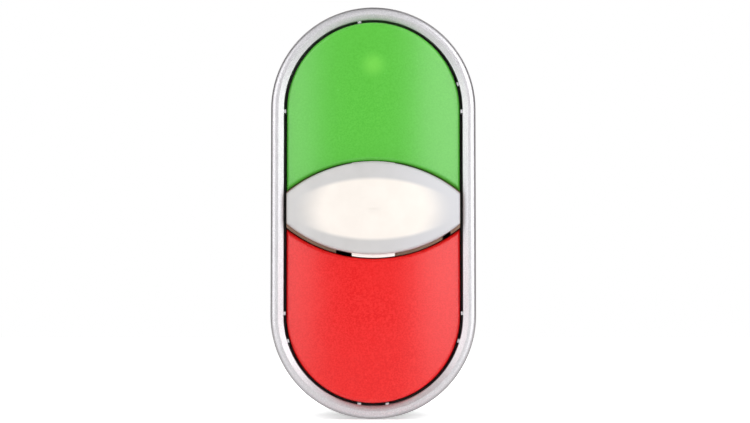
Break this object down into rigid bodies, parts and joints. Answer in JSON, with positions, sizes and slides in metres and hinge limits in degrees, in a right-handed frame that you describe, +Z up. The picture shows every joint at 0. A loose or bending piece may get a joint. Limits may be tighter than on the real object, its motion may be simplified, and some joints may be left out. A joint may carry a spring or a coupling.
{
  "type": "illuminated double pushbutton",
  "caption": "Stadium-shaped control-panel operator with a green button, a signal lens and a red button, with a ring nut and clip-on contact and lamp blocks behind the panel.",
  "frame": {"origin": "centre of the panel hole at the panel's front surface, where the gasket seats", "axes": "+Y from the user through the panel, along the shank; +Z up, towards the green button; +X to the right as the user sees it"},
  "size_m": [0.0296, 0.0602, 0.0596],
  "materials": {
    "silver_lacquer": "satin",
    "green_plastic": "fine matt grain",
    "red_plastic": "fine matt grain",
    "lens_plastic": "matt diffusing",
    "clear_plastic": "polished",
    "black_plastic": "matt",
    "dark_grey_plastic": "matt",
    "lever_plastic": "matt",
    "light_grey_plastic": "matt",
    "white_plastic": "matt",
    "green_block_plastic": "matt",
    "red_block_plastic": "matt",
    "black_rubber": "matt",
    "zinc_steel": "zinc plated",
    "spring_steel": "drawn wire",
    "contact_brass": "stamped",
    "led_epoxy": "clear epoxy",
    "board_laminate": "solder resist",
    "component_black": "moulded",
    "capacitor_sleeve": "sleeve",
    "resistor_body": "lacquered"
  },
  "bodies": {
    "unit": {"adapter": "dark_grey_plastic", "bezel": "silver_lacquer", "break_contact_case": "light_grey_plastic", "break_contact_clamps": "zinc_steel", "break_contact_cover": "light_grey_plastic", "break_contact_fixed_contacts": "contact_brass", "break_contact_return_spring": "spring_steel", "break_contact_screws": "zinc_steel", "green_return_spring": "spring_steel", "housing": "black_plastic", "lamp_board": "board_laminate", "lamp_capacitor": "capacitor_sleeve", "lamp_case": "light_grey_plastic", "lamp_clamps": "zinc_steel", "lamp_cover": "light_grey_plastic", "lamp_led": "led_epoxy", "lamp_pillar": "white_plastic", "lamp_rectifier": "component_black", "lamp_resistor": "resistor_body", "lamp_screws": "zinc_steel", "lamp_terminals": "contact_brass", "lens": "lens_plastic", "lens_holder": "white_plastic", "lever_pin": "zinc_steel", "light_guide": "clear_plastic", "make_contact_case": "light_grey_plastic", "make_contact_clamps": "zinc_steel", "make_contact_cover": "light_grey_plastic", "make_contact_fixed_contacts": "contact_brass", "make_contact_return_spring": "spring_steel", "make_contact_screws": "zinc_steel", "panel_gasket": "black_rubber", "plunger_seal": "black_rubber", "red_return_spring": "spring_steel"},
    "green_button": {"green_button": "green_plastic", "green_plunger": "dark_grey_plastic"},
    "red_button": {"red_button": "red_plastic", "red_plunger": "dark_grey_plastic"},
    "make_contact_slide": {"make_contact_plunger": "green_block_plastic", "make_contact_bridge": "contact_brass", "make_contact_bridge_spring": "spring_steel"},
    "break_contact_slide": {"break_contact_plunger": "red_block_plastic", "break_contact_bridge": "contact_brass", "break_contact_bridge_spring": "spring_steel"},
    "ring_nut": {"ring_nut": "black_plastic"},
    "lever": {"adapter_lever": "lever_plastic"}
  },
  "joints": [
    {"name": "green_press", "type": "slide", "parent": "unit", "child": "green_button", "axis": [0, 1, 0], "range_m": [0, 0.004], "stiffness_N_per_m": 600, "springref_m": -0.003, "deforming": ["green_return_spring"]},
    {"name": "red_press", "type": "slide", "parent": "unit", "child": "red_button", "axis": [0, 1, 0], "range_m": [0, 0.004], "stiffness_N_per_m": 600, "springref_m": -0.003, "deforming": ["red_return_spring"]},
    {"name": "make_contact_travel", "type": "slide", "parent": "unit", "child": "make_contact_slide", "axis": [0, 1, 0], "range_m": [0, 0.004], "deforming": ["make_contact_return_spring"]},
    {"name": "break_contact_travel", "type": "slide", "parent": "unit", "child": "break_contact_slide", "axis": [0, 1, 0], "range_m": [0, 0.004], "deforming": ["break_contact_return_spring"]},
    {"name": "nut_travel", "type": "slide", "parent": "unit", "child": "ring_nut", "axis": [0, 1, 0], "range_m": [-0.002, 0.003]},
    {"name": "lever_turn", "type": "hinge", "parent": "unit", "child": "lever", "pos_m": [-0.011, 0.0158, 0.0155], "axis": [0, -1, 0], "range_deg": [0, 15]}
  ],
  "couplings": [
    {"joint": "make_contact_travel", "follows": "green_press", "ratio": 1},
    {"joint": "break_contact_travel", "follows": "red_press", "ratio": 1}
  ]
}
